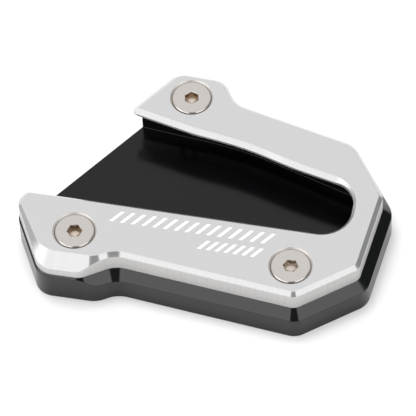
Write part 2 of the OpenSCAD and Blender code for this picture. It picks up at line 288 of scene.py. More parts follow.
class Shell:
    """A closed mesh in the making: faces with the normal of each of their corners."""

    def __init__(self):
        self.points, self.index, self.faces, self.normals = [], {}, [], []

    def vertex(self, p):
        """The number of the point, one for all faces that share it."""
        key = tuple(round(v, 4) for v in p)
        if key not in self.index:
            self.index[key] = len(self.points)
            self.points.append(p)
        return self.index[key]

    def face(self, corners):
        """One face, from its corners' (point, normal) pairs. It is wound to face the way they do."""
        loop = []
        for p, n in corners:
            v = self.vertex(p)
            if not loop or loop[-1][0] != v:
                loop.append((v, n))
        while len(loop) > 1 and loop[0][0] == loop[-1][0]:
            loop.pop()
        if len({v for v, n in loop}) > 2:
            points = [self.points[v] for v, n in loop]
            facing = sum((a.cross(b) for a, b in zip(points, points[1:] + points[:1])), Vector((0, 0, 0)))
            if facing.dot(sum((n for v, n in loop), Vector((0, 0, 0)))) < 0:
                loop.reverse()
            self.faces.append([v for v, n in loop])
            self.normals.extend(n for v, n in loop)

    def strips(self, columns, closed=True):
        """columns: for each spot the (point, normal) pairs on its two sides, from the top down."""
        n = len(columns)
        for j in range(n if closed else n - 1):
            left, right = columns[j][1], columns[(j + 1) % n][0]
            for i in range(len(left) - 1):
                self.face([left[i], left[i + 1], right[i + 1], right[i]])

    def flat(self, loops, z, up):
        """A level face. Every loop after the first is a hole in it."""
        points, sides = [], []
        for loop in loops:
            start = len(points)
            points.extend(tidy_loop(loop))
            n = len(points) - start
            sides.extend((start + j, start + (j + 1) % n) for j in range(n))
        found = delaunay_2d_cdt(points, sides, [], 1, 1e-9)
        normal = UP if up else -UP
        for tri in found[2]:
            a, b, c = (found[0][i] for i in tri)
            if not inside((a + b + c) / 3, points, sides):
                continue
            self.face([(Vector((p.x, p.y, z)), normal) for p in (a, b, c)])

    def build(self, name, offset):
        mesh = bpy.data.meshes.new(name)
        points = [((p.x + offset.x) * MM, (p.y + offset.y) * MM, p.z * MM) for p in self.points]
        mesh.from_pydata(points, [], self.faces)
        mesh.polygons.foreach_set("use_smooth", [True] * len(mesh.polygons))
        mesh.normals_split_custom_set([tuple(n) for n in self.normals])
        mesh.update()
        obj = bpy.data.objects.new(name, mesh)
        scene.collection.objects.link(obj)
        return obj


def inside(p, points, sides):
    """Whether p lies inside, by how many sides a ray to its right crosses."""
    crossed = False
    for i, j in sides:
        a, b = points[i], points[j]
        if (a.y > p.y) != (b.y > p.y) and p.x < a.x + (p.y - a.y) * (b.x - a.x) / (b.y - a.y):
            crossed = not crossed
    return crossed


def tidy_loop(loop):
    """The loop without points that lie on each other."""
    kept = []
    for p in loop:
        if not kept or (p - kept[-1]).length > 2e-4:
            kept.append(p)
    while len(kept) > 1 and (kept[0] - kept[-1]).length < 2e-4:
        kept.pop()
    return kept


def flat_to(p, z):
    return Vector((p.x, p.y, z))


def level_out(v):
    return Vector((v.x, v.y, 0))


UP = Vector((0, 0, 1))
BREAK = (0, 1 / 3, 2 / 3, 1)


def bent(a, b, c, t):
    """A place on the curve from a to c that is drawn towards b."""
    return (1 - t) ** 2 * a + 2 * t * (1 - t) * b + t * t * c


def broken(start, mid, end, first, last):
    """A broken edge from start by way of mid to end, as points with normals from first to last."""
    return [(bent(start, mid, end, t), first.lerp(last, t).normalized()) for t in BREAK]


def top_column(s, facing):
    """The top plate's section at one spot: crest, bevel, wall and foot."""
    out = level_out(s.out)
    crest = flat_to(s.point, top_z)
    down = (out - UP * s.fall).normalized()
    sloping = (level_out(facing) + UP).normalized()
    upright = level_out(s.facing)
    edge = crest + (out - UP * s.fall) * s.reach
    size = min(crest_break, break_share * s.reach)
    pairs = broken(flat_to(s.inner(size), top_z), crest, crest + down * size, UP, sloping)
    pairs += broken(edge - down * size, edge, edge - UP * size, sloping, upright)
    lip = min(lip_z + foot_break, edge.z - size)
    pairs.append((flat_to(s.wall, lip), upright))
    foot = flat_to(s.wall, s.level)
    pairs += broken(foot + UP * foot_break, foot, foot - upright * foot_break, upright, -UP)
    return pairs


def base_column(s, facing):
    """The base plate's section at one spot: bevel, wall and sole."""
    upright = level_out(s.facing)
    if s.level < joint_z:
        rim = flat_to(s.wall, s.level)
        pairs = [(rim, upright)] * (1 + len(BREAK))
    else:
        reach = max(s.reach, 0.0)
        rim = flat_to(s.point if reach > 0 else s.wall, joint_z)
        sloping = (level_out(facing) + UP).normalized()
        edge = flat_to(s.wall, joint_z - reach * s.fall)
        down = (edge - rim).normalized()
        size = min(crest_break, break_share * reach)
        pairs = [(rim, sloping if reach > 0.02 else upright)]
        pairs += broken(edge - down * size, edge, edge - UP * size, pairs[0][1], upright)
    pairs.append((flat_to(s.wall, min(s.level, floor_z + cove)), upright))
    foot = flat_to(s.wall, 0.0)
    pairs += broken(foot + UP * sole_break, foot, foot - upright * sole_break, upright, -UP)
    return pairs


def columns_of(spots, section):
    """Each spot's section twice, for the faces before it and after it."""
    return [(section(s, s.before), section(s, s.after)) for s in spots]


def ring(centre, radius):
    return [centre + radius * way(360 * j / round_n) for j in range(round_n)]


def lathe(shell, centre, profile):
    """profile: (radius, height, normal's outward part, normal's upward part), from the top down."""
    for j in range(round_n):
        a, b = way(360 * j / round_n), way(360 * (j + 1) / round_n)
        for upper, lower in zip(profile, profile[1:]):
            quad = []
            for w, (r, z, o, u) in ((a, upper), (b, upper), (b, lower), (a, lower)):
                quad.append((flat_to(centre + w * r, z), (level_out(w) * o + UP * u).normalized()))
            shell.face(quad)


def arc_profile(start, mid, end, first, last):
    """A broken edge as a part of a profile, its normals turning from first to last."""
    pairs = []
    for t in BREAK:
        r, z = (bent(a, b, c, t) for a, b, c in zip(start, mid, end))
        o, u = (f + (g - f) * t for f, g in zip(first, last))
        pairs.append((r, z, o, u))
    return pairs


SCREWS = [
    meet(spread(LOBE_SIDE, -lobe_side_inset), spread(LOBE_END, -lobe_end_inset)),
    meet(spread(FRONT_CORNER, -corner_inset), spread(FRONT, -corner_inset)),
    meet(spread(REAR_LOBE, -rear_lobe_inset), spread(MOUTH, -mouth_inset)),
]


def pocket_line(k=0.0):
    """The pocket's walls from outside the mouth, round its closed end and out again."""
    spots = outline(POCKET, POCKET_R, k)
    first = meet(spread(POCKET[4], k), spread(POCKET[0], k))
    last = meet(spread(POCKET[3], k), spread(POCKET[4], k))
    middle = [s for s in spots if (s.point - first).length > 1e-6 and (s.point - last).length > 1e-6]
    return first, middle, last


def cut_at(spots, cuts):
    """Puts a new spot at each cut, {name: (j, f)}. Returns the spots and where each cut now is."""
    where, out = {}, []
    order = sorted((j + f, name, j, f) for name, (j, f) in cuts.items())
    for j, s in enumerate(spots):
        out.append(s)
        for _, name, cut_j, f in order:
            if cut_j == j:
                where[name] = len(out)
                out.append(s.between(spots[(j + 1) % len(spots)], f))
    return out, where


def stretch(spots, i, j):
    """The spots from i to j, going round."""
    n = len(spots)
    return [spots[(i + k) % n] for k in range((j - i) % n + 1)]


def copy_spot(s, level):
    """The same spot with the height down to which, or up to which, its wall goes."""
    new = Spot(s.point, s.out, s.before, s.after, s.fall)
    new.reach, new.wall, new.facing, new.level, new.sharp = s.reach, s.wall, s.facing, level, s.sharp
    return new


def lip_recess(shell, middle, outer_columns, inner_columns):
    """The upright walls of the recess under the lips, and the faces that close its two ends."""
    start, end = outer_columns[0][0], outer_columns[-1][0]
    line = [start[-1][0].xy] + [s.point for s in middle] + [end[-1][0].xy]
    outs = [middle[0].out] + [s.out for s in middle] + [middle[-1].out]
    recess = []
    for p, out in zip(line, outs):
        column = [(flat_to(p, lip_z), -level_out(out)), (flat_to(p, joint_z), -level_out(out))]
        recess.append((column, column))
    shell.strips(recess[::-1], closed=False)
    for column, side, out in ((start, inner_columns[-1][0], middle[0].out),
                              (end, inner_columns[0][0], middle[-1].out)):
        facing = -level_out(out)
        foot = side[-len(BREAK):] + column[-len(BREAK):][::-1]
        shell.face([(p, facing) for p, n in foot])


def countersunk_hole(shell, c):
    """The top plate's hole for a screw, from the broken edge of its cone down to the joint."""
    slant = crest_break * math.sqrt(0.5)
    cone_foot = top_z - (seat_r - clear_r)
    rim, cone = (seat_r + crest_break, top_z), (seat_r - slant, top_z - slant)
    profile = arc_profile(rim, (seat_r, top_z), cone, (0, 1), (-1, 1))
    profile += [(clear_r, cone_foot, -1, 1), (clear_r, cone_foot, -1, 0), (clear_r, joint_z, -1, 0)]
    lathe(shell, c, profile)


def tapped_hole(shell, c):
    """A plain bore round the screw, then one turn of thread below the screw's end and a wide mouth."""
    top, foot = thread_foot + thread_pitch, thread_foot
    tip_top, tip_foot = (top + foot + thread_flat) / 2, (top + foot - thread_flat) / 2
    wide_r = thread_r + hole_mouth
    lathe(shell, c, [(thread_r, joint_z, -1, 0), (thread_r, top, -1, 0)])
    lathe(shell, c, [(thread_r, top, -1, 1), (thread_tip_r, tip_top, -1, 1)])
    lathe(shell, c, [(thread_tip_r, tip_top, -1, 0), (thread_tip_r, tip_foot, -1, 0)])
    lathe(shell, c, [(thread_tip_r, tip_foot, -1, -1), (thread_r, foot, -1, -1)])
    lathe(shell, c, [(thread_r, foot, -1, 0), (thread_r, hole_mouth, -1, 0)])
    lathe(shell, c, [(thread_r, hole_mouth, -1, -1), (wide_r, 0, -1, -1)])


def top_plate():
    shell = Shell()
    spots = finer(outline(CREST, CREST_R), run_step)
    find_walls(spots, outline(PLATE, PLATE_R))
    first, middle, last = pocket_line()
    a = crossing(spots, first, middle[0].point, LOBE_CORNER)
    b = crossing(spots, middle[-1].point, last, REAR_TIP)
    spots, where = cut_at(spots, {"a": a[:2], "b": b[:2]})
    outer = [copy_spot(s, joint_z) for s in stretch(spots, where["a"], where["b"])]
    inner = [copy_spot(s, lip_z) for s in stretch(spots, where["b"], where["a"])]
    outer_columns, inner_columns = columns_of(outer, top_column), columns_of(inner, top_column)
    shell.strips(outer_columns, closed=False)
    shell.strips(inner_columns, closed=False)
    # The level faces: top, the underside against the base plate and the underside of the lips
    crest_loop = [c[0][0][0].xy for c in outer_columns[:-1] + inner_columns[:-1]]
    shell.flat([crest_loop] + [ring(c, seat_r + crest_break) for c in SCREWS], top_z, True)
    outer_foot = [c[0][-1][0].xy for c in outer_columns]
    inner_foot = [c[0][-1][0].xy for c in inner_columns]
    walls = [s.point for s in middle]
    shell.flat([outer_foot + walls[::-1]] + [ring(c, clear_r) for c in SCREWS], joint_z, False)
    shell.flat([inner_foot + walls], lip_z, False)
    lip_recess(shell, middle, outer_columns, inner_columns)
    for c in SCREWS:
        countersunk_hole(shell, c)
    return shell


def cove_lines():
    """The cove at the foot of the pocket's walls, from its top down: height, normal's parts and line."""
    lines = []
    for i in range(cove_steps + 1):
        t = math.radians(90 * i / cove_steps)
        o, u = math.cos(t), math.sin(t)
        lines.append((floor_z + cove * (1 - u), o, u, pocket_line(-cove * (1 - o))))
    return lines


def sill_spots(spots, where, coves):
    """The spots across the pocket's mouth. Those between two lines of the cove are left out."""
    n, start = len(spots), where["b0"]
    levels = {where[f"{side}{i}"]: line[0] for i, line in enumerate(coves) for side in "ab"}
    low_end, high_end = (where[f"b{cove_steps}"] - start) % n, (where[f"a{cove_steps}"] - start) % n
    sill = []
    for i in range((where["a0"] - start) % n + 1):
        j = (start + i) % n
        if j in levels or low_end < i < high_end:
            sill.append(copy_spot(spots[j], levels.get(j, floor_z)))
    return sill


def cove_rows(spots, where, coves):
    """The cove's lines from one side of the mouth to the other, as (point, normal) pairs."""
    rows = []
    for i, (z, o, u, pocket) in enumerate(coves):
        start, middle, end = spots[where[f"a{i}"]].wall, pocket[1], spots[where[f"b{i}"]].wall
        line = [start] + [s.point for s in middle] + [end]
        outs = [middle[0].out] + [s.out for s in middle] + [middle[-1].out]
        normals = [(UP * u - level_out(out) * o).normalized() for out in outs]
        rows.append([(flat_to(p, z), n) for p, n in zip(line, normals)])
    return rows


def pocket_walls(shell, rows, outer_columns):
    """The cove, the walls above it and the faces that close the two sides of the mouth."""
    cove_columns = [([row[j] for row in rows],) * 2 for j in range(len(rows[0]))]
    shell.strips(cove_columns[::-1], closed=False)
    upper = [[(flat_to(p, joint_z), n), (p, n)] for p, n in rows[0]]
    shell.strips([(column, column) for column in upper[-2:0:-1]], closed=False)
    for column, side in ((outer_columns[0][0], upper[1]), (outer_columns[-1][0], upper[-2])):
        facing = side[0][1]
        shell.face([(p, facing) for p, n in column if p.z > floor_z + cove - 1e-6] + side[::-1])


def base_plate():
    shell = Shell()
    spots = finer(outline(RIM, RIM_R), run_step)
    find_walls(spots, outline(BASE, BASE_R))
    coves = cove_lines()
    cuts = {}
    for i, line in enumerate(coves):
        first, middle, last = line[3]
        cuts[f"a{i}"] = crossing(spots, first, middle[0].point, LOBE_CORNER)[:2]
        cuts[f"b{i}"] = crossing(spots, middle[-1].point, last, REAR_TIP)[:2]
    first, middle, last = coves[0][3]
    rim_a = crossing(spots, first, middle[0].point, LOBE_CORNER, "point")[2]
    rim_b = crossing(spots, middle[-1].point, last, REAR_TIP, "point")[2]
    spots, where = cut_at(spots, cuts)
    outer = [copy_spot(s, joint_z) for s in stretch(spots, where["a0"], where["b0"])]
    outer[0].point, outer[-1].point = rim_a, rim_b
    sill = sill_spots(spots, where, coves)
    outer_columns, sill_columns = columns_of(outer, base_column), columns_of(sill, base_column)
    shell.strips(outer_columns, closed=False)
    shell.strips(sill_columns, closed=False)
    # The level faces: the joint, the sole and the pocket's floor
    walls = [s.point for s in middle]
    rim_loop = [c[0][0][0].xy for c in outer_columns]
    shell.flat([rim_loop + walls[::-1]] + [ring(c, thread_r) for c in SCREWS], joint_z, True)
    sole = [c[0][-1][0].xy for c in outer_columns[:-1] + sill_columns[:-1]]
    shell.flat([sole] + [ring(c, thread_r + hole_mouth) for c in SCREWS], 0.0, False)
    floor_walls = [s.point for s in coves[-1][3][1]]
    floor_sill = [s.wall for s in sill[cove_steps:len(sill) - cove_steps]]
    shell.flat([floor_sill + floor_walls], floor_z, True)
    pocket_walls(shell, cove_rows(spots, where, coves), outer_columns)
    for c in SCREWS:
        tapped_hole(shell, c)
    return shell


def screw_head(shell, c, turn):
    """The level face round the socket, the chamfer with its two broken edges, and the side."""
    face_r, top = head_r - head_chamfer, head_top - head_chamfer
    mouth = socket_ring(c, turn, socket_flare)
    shell.flat([ring(c, face_r - rim_break), mouth], head_top, True)
    upper = (face_r + rim_slant, head_top - rim_slant)
    lower = (head_r - rim_slant, top + rim_slant)
    lathe(shell, c, arc_profile((face_r - rim_break, head_top), (face_r, head_top), upper, (0, 1), (1, 1)))
    lathe(shell, c, [(*upper, 1, 1), (*lower, 1, 1)])
    lathe(shell, c, arc_profile(lower, (head_r, top), (head_r, top - rim_break), (1, 1), (1, 0)))
    lathe(shell, c, [(head_r, top - rim_break, 1, 0), (head_r, top_z - seat_drop, 1, 0)])


def screw_shank(shell, c):
    """The cone under the head, the shank and its pointed end."""
    rim = top_z - seat_drop
    neck, foot = rim - head_r + thread_r, head_top - screw_len
    lathe(shell, c, [(head_r, rim, 1, -1), (thread_r, neck, 1, -1)])
    lathe(shell, c, [(thread_r, neck, 1, 0), (thread_r, foot + point_l, 1, 0)])
    lathe(shell, c, [(thread_r, foot + point_l, 1, -1), (thread_r - point_l, foot, 1, -1)])
    shell.flat([ring(c, thread_r - point_l)], foot, False)


def screws():
    shell = Shell()
    for c, turn in zip(SCREWS, SCREW_TURNS):
        screw_head(shell, c, turn)
        screw_shank(shell, c)
        socket(shell, c, turn)
    return shell


def socket_r(a):
    """The hexagon's radius at an angle from one of its corners."""
    return socket_af / 2 / math.cos(math.radians(a % 60 - 30))


def socket_ring(c, turn, lead):
    """The hexagon as a loop of points, larger than its flats by the share given."""
    angles = [360 * j / round_n for j in range(round_n)]
    return [c + socket_r(a) * (1 + lead) * way(turn + a) for a in angles]


def socket(shell, c, turn):
    """The hexagon socket: a broken mouth, six flats and the cone left by the drill."""
    bottom = head_top - socket_depth
    for j in range(round_n):
        inward = -level_out(way(turn + 30 + 60 * (6 * j // round_n)))
        quad, lead = [], []
        tilt = (inward + UP).normalized()
        for i in (j, j + 1):
            a = turn + 360 * i / round_n
            r = socket_r(a - turn)
            edge = flat_to(c + way(a) * r, head_top - socket_lead)
            mouth = flat_to(c + way(a) * r * (1 + socket_flare), head_top)
            lead.append([(mouth, tilt), (edge, tilt)])
            quad.append([(edge, inward), (flat_to(edge, bottom), inward)])
        for first, second in (lead, quad):
            shell.face([first[0], first[1], second[1], second[0]])
    shell.flat([socket_ring(c, turn, 0), ring(c, drill_r)], bottom, True)
    tip, blunt_r = bottom - drill_depth, 0.2
    lathe(shell, c, [(drill_r, bottom, -0.5, 1), (blunt_r, tip, -0.5, 1), (0, tip, 0, 1)])


# The datum's place in the frame, from the far and right-hand ends of the base plate
far_round = corner(BASE[5], BASE[6], BASE_R[5])
farthest = max(s.point.y for s in far_round)
base_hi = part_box("base_plate")[1]
datum = Vector((base_hi.x / MM - END[1] - flare, base_hi.y / MM - farthest))


def place(make, name, node):
    obj = make().build(name, datum)
    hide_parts(node)
    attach(obj, "root")
    return obj


top_body = place(top_plate, "top_plate_body", "top_plate")
base_body = place(base_plate, "base_plate_body", "base_plate")
screw_body = place(screws, "countersunk_screws", "screws")

# The straight front edge is turned this many degrees from the camera's own right
view_turn = 19.6
TURN = math.radians(view_turn)


class Tree:
    """Short ways to add shader nodes."""

    def __init__(self, owner):
        owner.use_nodes = True
        self.tree = owner.node_tree
        self.tree.nodes.clear()

    def add(self, kind, **values):
        node = self.tree.nodes.new(kind)
        for key, value in values.items():
            setattr(node, key, value)
        return node

    def link(self, source, target):
        self.tree.links.new(source, target)

    def put(self, socket, value):
        """Links a node's output to the socket, or sets a constant on it."""
        if hasattr(value, "is_linked"):
            self.link(value, socket)
        else:
            socket.default_value = value

    def math(self, op, a, b=0.0, c=0.0):
        node = self.add("ShaderNodeMath", operation=op)
        for i, value in enumerate((a, b, c)):
            self.put(node.inputs[i], value)
        return node.outputs[0]

    def times(self, a, b):
        return self.math("MULTIPLY", a, b)

    def span(self, value, lo, hi, out_lo=0.0, out_hi=1.0):
        """A smooth step from out_lo to out_hi while the value goes from lo to hi."""
        node = self.add("ShaderNodeMapRange", interpolation_type="SMOOTHSTEP")
        names = ("Value", "From Min", "From Max", "To Min", "To Max")
        for name, v in zip(names, (value, lo, hi, out_lo, out_hi)):
            self.put(node.inputs[name], v)
        return node.outputs[0]

    def window(self, value, centre, half, soft):
        """1 where the value is within half of the centre, with edges that are soft over the given width."""
        off = self.math("ABSOLUTE", self.math("SUBTRACT", value, centre))
        return self.span(off, half - soft / 2, half + soft / 2, 1.0, 0.0)

    def mix(self, factor, a, b):
        """A colour between a and b."""
        node = self.add("ShaderNodeMix", data_type="RGBA")
        self.put(node.inputs[0], factor)
        self.put(node.inputs[6], a)
        self.put(node.inputs[7], b)
        return node.outputs[2]

    def blend(self, factor, a, b):
        """A number between a and b."""
        node = self.add("ShaderNodeMix", data_type="FLOAT")
        self.put(node.inputs[0], factor)
        self.put(node.inputs[2], a)
        self.put(node.inputs[3], b)
        return node.outputs[0]

    def noise(self, where, scale, detail=2.0, stretch=(1, 1, 1), turn=0.0):
        """A noise drawn out along the axes of its own, turned frame."""
        mapping = self.add("ShaderNodeMapping", vector_type="TEXTURE")
        mapping.inputs["Rotation"].default_value = (0, 0, turn)
        mapping.inputs["Scale"].default_value = stretch
        self.link(where, mapping.inputs["Vector"])
        node = self.add("ShaderNodeTexNoise")
        self.link(mapping.outputs[0], node.inputs["Vector"])
        node.inputs["Scale"].default_value = scale
        node.inputs["Detail"].default_value = detail
        return node.outputs["Fac"]

    def bump(self, height, distance):
        node = self.add("ShaderNodeBump")
        self.link(height, node.inputs["Height"])
        node.inputs["Distance"].default_value = distance
        return node.outputs[0]


# World: a soft white studio, brighter in front, darker low down at both sides
world = bpy.data.worlds.new("studio")
scene.world = world
w = Tree(world)
coord = w.add("ShaderNodeTexCoord")
rot = w.add("ShaderNodeVectorRotate", rotation_type="Z_AXIS")
rot.inputs["Angle"].default_value = -TURN
w.link(coord.outputs["Generated"], rot.inputs["Vector"])
sep = w.add("ShaderNodeSeparateXYZ")
w.link(rot.outputs[0], sep.inputs[0])
dx, dy, dz = sep.outputs
# Both in degrees: el above the floor, az 0 towards the camera and 90 to its right
el = w.times(w.math("ARCSINE", dz), 180 / math.pi)
az = w.times(w.math("ARCTAN2", dx, w.times(dy, -1.0)), 180 / math.pi)

# The dark low down at the right and at the left, and the light in front with its middle
side_right = w.window(az, 110.0, 44.0, 24.0)
side_left = w.window(az, -100.0, 50.0, 30.0)
right_low = w.times(w.span(el, 8.0, 45.0, 1.0, 0.0), side_right)
e = w.span(right_low, 0.0, 1.0, 1.0, 0.10)
left_low = w.times(w.span(el, 0.0, 24.0, 1.0, 0.0), side_left)
e = w.math("SUBTRACT", e, w.times(left_low, 0.75))
front = w.times(w.window(el, 32.0, 18.0, 10.0), w.window(az, -8.0, 72.0, 16.0))
middle = w.times(front, w.window(az, 0.0, 26.0, 14.0))
e = w.math("ADD", e, w.math("ADD", w.times(front, 0.44), w.times(middle, 0.12)))
# A light card at the left
left_card = w.times(w.window(el, 29.0, 13.0, 8.0), w.window(az, -74.0, 20.0, 12.0))
e = w.math("ADD", e, w.times(left_card, 0.60))
# A dark card right in front, which the rounded front corners mirror
dark_card = w.times(w.window(el, 33.0, 22.0, 8.0), w.window(az, 0.0, 18.0, 8.0))
e = w.times(e, w.math("SUBTRACT", 1.0, w.times(dark_card, 0.92)))
# What the camera sees past the floor is plain white
path = w.add("ShaderNodeLightPath")
strength = w.math("MAXIMUM", e, path.outputs["Is Camera Ray"])
bg = w.add("ShaderNodeBackground")
green = w.times(w.math("SUBTRACT", 1.0, path.outputs["Is Camera Ray"]), right_low)
w.put(bg.inputs["Color"], w.mix(green, (1, 1, 1, 1), (0.88, 1.0, 0.975, 1)))
w.put(bg.inputs["Strength"], strength)
out = w.add("ShaderNodeOutputWorld")
w.link(bg.outputs[0], out.inputs["Surface"])


def lamp(name, az_deg, el_deg, distance, size, power):
    data = bpy.data.lights.new(name, "AREA")
    data.shape = "DISK"
    data.size = size
    data.energy = power
    obj = bpy.data.objects.new(name, data)
    a, h = math.radians(az_deg) + TURN, math.radians(el_deg)
    back = Vector((math.sin(a) * math.cos(h), -math.cos(a) * math.cos(h), math.sin(h)))
    obj.location = back * distance
    obj.rotation_mode = "QUATERNION"
    obj.rotation_quaternion = (-back).to_track_quat("-Z", "Y")
    scene.collection.objects.link(obj)
    return obj


key = lamp("key_lamp", az_deg=-150, el_deg=74, distance=0.9, size=0.5, power=4.0)
key.visible_glossy = False

# Floor, a hair below the sole so that the two don't coincide
floor_mesh = bpy.data.meshes.new("floor")
floor_mesh.from_pydata([(-3, -3, 0), (3, -3, 0), (3, 3, 0), (-3, 3, 0)], [], [(0, 1, 2, 3)])
floor = bpy.data.objects.new("floor", floor_mesh)
floor.location.z = -0.00004
scene.collection.objects.link(floor)
fm = bpy.data.materials.new("floor")
floor_mesh.materials.append(fm)
f = Tree(fm)
path = f.add("ShaderNodeLightPath")
seen = f.math("MAXIMUM", path.outputs["Is Camera Ray"], path.outputs["Is Transmission Ray"])
seen = f.math("MAXIMUM", seen, f.times(path.outputs["Is Glossy Ray"], 0.5))
diffuse = f.add("ShaderNodeBsdfDiffuse")
diffuse.inputs["Color"].default_value = (0.70, 0.70, 0.70, 1)
glow = f.add("ShaderNodeEmission")
f.put(glow.inputs["Strength"], f.times(seen, 0.24))
both = f.add("ShaderNodeAddShader")
f.link(diffuse.outputs[0], both.inputs[0])
f.link(glow.outputs[0], both.inputs[1])
fo = f.add("ShaderNodeOutputMaterial")
f.link(both.outputs[0], fo.inputs["Surface"])

# Camera
cam_data = bpy.data.cameras.new("camera")
cam = bpy.data.objects.new("camera", cam_data)
scene.collection.objects.link(cam)
scene.camera = cam
cam_data.sensor_fit = "HORIZONTAL"
cam_data.sensor_width = 36.0
cam_data.lens = 322.29
cam_data.clip_start = 0.1
cam_data.clip_end = 20.0
# The view that the fit to the photograph gave, in degrees and metres
view_el, view_roll, view_dist = 55.0889, -3.1806, 1.131296
aim = Vector((-0.000260, -0.002137, 0.009))
back = flat_to(way(view_turn - 90) * math.cos(math.radians(view_el)), math.sin(math.radians(view_el)))
level_right = level_out(way(view_turn))
roll = math.radians(view_roll)
right = level_right * math.cos(roll) + back.cross(level_right) * math.sin(roll)
turn_matrix = Matrix((right, back.cross(right), back)).transposed().to_4x4()
cam.matrix_world = Matrix.Translation(aim + back * view_dist) @ turn_matrix


# Materials
def material(name):
    """A new material, its tree and shader, the place in millimetres and how far the surface faces up."""
    m = bpy.data.materials.new(name)
    t = Tree(m)
    bsdf = t.add("ShaderNodeBsdfPrincipled")
    o = t.add("ShaderNodeOutputMaterial")
    t.link(bsdf.outputs[0], o.inputs["Surface"])
    coord = t.add("ShaderNodeTexCoord")
    scale = t.add("ShaderNodeVectorMath", operation="SCALE")
    t.link(coord.outputs["Object"], scale.inputs[0])
    scale.inputs["Scale"].default_value = 1000.0
    geometry = t.add("ShaderNodeNewGeometry")
    normal = t.add("ShaderNodeSeparateXYZ")
    t.link(geometry.outputs["Normal"], normal.inputs[0])
    return m, t, bsdf, scale.outputs[0], normal.outputs[2]


def cutter_marks(t, mm, scale):
    """Fine marks straight up bevels and walls: a noise that varies only along the edge."""
    geometry = t.add("ShaderNodeNewGeometry")
    across = t.add("ShaderNodeVectorMath", operation="CROSS_PRODUCT")
    across.inputs[0].default_value = (0, 0, 1)
    t.link(geometry.outputs["Normal"], across.inputs[1])
    edge_way = t.add("ShaderNodeVectorMath", operation="NORMALIZE")
    t.link(across.outputs[0], edge_way.inputs[0])
    along = t.add("ShaderNodeVectorMath", operation="DOT_PRODUCT")
    t.link(edge_way.outputs[0], along.inputs[0])
    t.link(mm, along.inputs[1])
    marks = t.add("ShaderNodeTexNoise", noise_dimensions="1D")
    t.link(along.outputs["Value"], marks.inputs["W"])
    marks.inputs["Scale"].default_value = scale
    marks.inputs["Detail"].default_value = 3.0
    return marks.outputs["Fac"]


def slanted_bars(t, mm):
    """A mask that is 1 on two rows of plain slanted strokes."""
    mask = None
    lean, stroke_half = 0.75, 0.56
    # Each row: the place of its middle, the number of strokes, their height and how far apart they are
    rows = ((-2.2, -8.6, 15, 3.9, 3.3), (11.0, -12.9, 7, 3.3, 2.7))
    for x, y, strokes, height, pitch in rows:
        mapping = t.add("ShaderNodeMapping", vector_type="TEXTURE")
        mapping.inputs["Location"].default_value = (x + datum.x, y + datum.y, 0)
        mapping.inputs["Rotation"].default_value = (0, 0, math.radians(near_slope))
        t.link(mm, mapping.inputs["Vector"])
        part = t.add("ShaderNodeSeparateXYZ")
        t.link(mapping.outputs[0], part.inputs[0])
        along = t.math("SUBTRACT", part.outputs[0], t.times(part.outputs[1], lean))
        off = t.math("PINGPONG", along, pitch / 2)
        stroke = t.span(off, stroke_half - 0.04, stroke_half + 0.04, 1.0, 0.0)
        row = t.times(stroke, t.window(part.outputs[1], 0.0, height / 2, 0.08))
        row = t.times(row, t.window(along, 0.0, strokes * pitch / 2, 0.02))
        mask = row if mask is None else t.math("MAXIMUM", mask, row)
    return mask


def from_screws(t, mm):
    """The distance from the nearest screw's axis."""
    across = t.add("ShaderNodeVectorMath", operation="MULTIPLY")
    t.link(mm, across.inputs[0])
    across.inputs[1].default_value = (1, 1, 0)
    nearest = None
    for c in SCREWS:
        off = t.add("ShaderNodeVectorMath", operation="DISTANCE")
        t.link(across.outputs[0], off.inputs[0])
        off.inputs[1].default_value = (c.x + datum.x, c.y + datum.y, 0)
        off = off.outputs["Value"]
        nearest = off if nearest is None else t.math("MINIMUM", nearest, off)
    return nearest


def screw_seats(t, mm, nz):
    """Masks of the cone round each screw head and of the painted shade in the gap between the two."""
    from_axis = from_screws(t, mm)
    seat = t.window(from_axis, head_r + 0.2, 0.5, 0.04)
    seat = t.times(seat, t.span(nz, 0.97, 0.90))
    gap_shade = t.times(seat, t.span(from_axis, head_r + 0.08, head_r + 0.20, 1.0, 0.0))
    return seat, gap_shade


